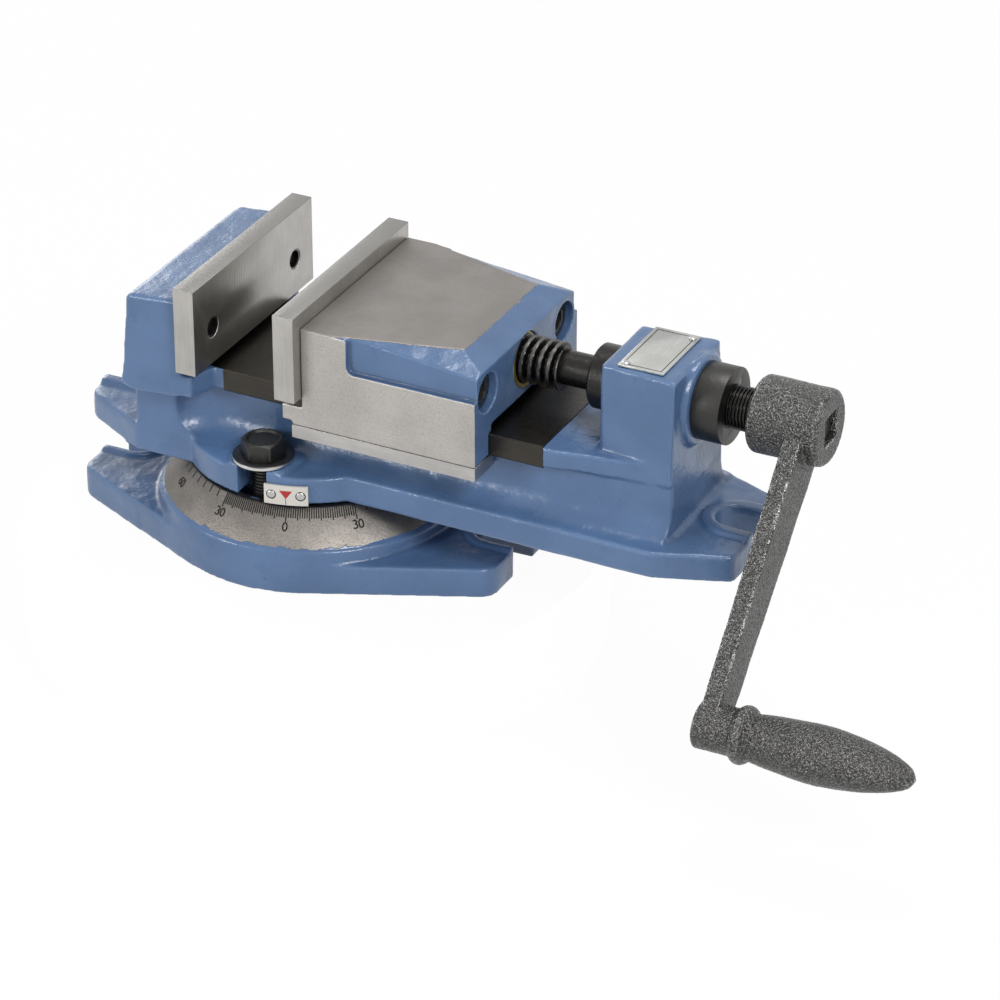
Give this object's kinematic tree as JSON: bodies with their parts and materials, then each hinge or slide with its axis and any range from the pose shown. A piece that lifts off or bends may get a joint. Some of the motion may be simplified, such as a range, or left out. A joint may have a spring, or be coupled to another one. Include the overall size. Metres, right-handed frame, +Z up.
{
  "type": "swivel machine vise",
  "caption": "Machine vise with a plain screw-driven moving jaw on a graduated swivel base, clamped by side bolts and turned by a crank.",
  "frame": {"origin": "swivel axis on the underside of the base", "axes": "+X along the screw towards the crank, +Z up along the swivel axis, the front clamp bolt on -Y"},
  "size_m": [0.4075, 0.1651, 0.1266],
  "materials": {
    "blue_paint": "gloss enamel over a sand casting",
    "machined_iron": "machined and ground, with painted cast shoulders",
    "ground_steel": "ground",
    "steel": "turned",
    "zinc": "bright zinc plate",
    "black_oxide": "black oxide",
    "bronze": "turned",
    "grey_iron": "rough casting with hammered dark finish",
    "white_plate": "printed sheet",
    "silver_plate": "anodised sheet"
  },
  "bodies": {
    "base": {"swivel_base": "blue_paint", "pivot_pin": "steel"},
    "body": {"vise_body": "blue_paint", "fixed_jaw_plate": "ground_steel", "fixed_jaw_screws": "black_oxide", "tee_nuts": "black_oxide", "clamp_washers": "zinc", "pointer_plate": "white_plate", "pointer_rivets": "steel", "name_plate": "silver_plate", "name_plate_rivets": "steel"},
    "front_bolt": {"front_clamp_bolt": "black_oxide"},
    "rear_bolt": {"rear_clamp_bolt": "black_oxide"},
    "moving_jaw": {"moving_jaw": "machined_iron", "moving_jaw_plate": "ground_steel", "moving_jaw_screws": "black_oxide", "front_keeper_plate": "ground_steel", "rear_keeper_plate": "ground_steel", "keeper_screws": "black_oxide", "lead_nut": "bronze"},
    "screw": {"lead_screw": "black_oxide", "lock_ring": "black_oxide", "lock_ring_pin": "steel", "crank": "grey_iron"}
  },
  "joints": [
    {"name": "swivel", "type": "hinge", "parent": "base", "child": "body", "pos_m": [0, 0, 0.034], "axis": [0, 0, 1], "continuous": true},
    {"name": "screw_turn", "type": "hinge", "parent": "body", "child": "screw", "pos_m": [0, 0, 0.09885], "axis": [1, 0, 0], "range_deg": [-3411, 2070]},
    {"name": "jaw_slide", "type": "slide", "parent": "body", "child": "moving_jaw", "axis": [1, 0, 0], "range_m": [-0.0379, 0.023]},
    {"name": "front_bolt_turn", "type": "hinge", "parent": "body", "child": "front_bolt", "pos_m": [0, -0.043, 0.04955], "axis": [0, 0, 1], "range_deg": [0, 180]},
    {"name": "rear_bolt_turn", "type": "hinge", "parent": "body", "child": "rear_bolt", "pos_m": [0, 0.043, 0.04955], "axis": [0, 0, 1], "range_deg": [0, 180]}
  ],
  "couplings": [
    {"joint": "jaw_slide", "follows": "screw_turn", "m_per_rad": 0.00063662}
  ]
}
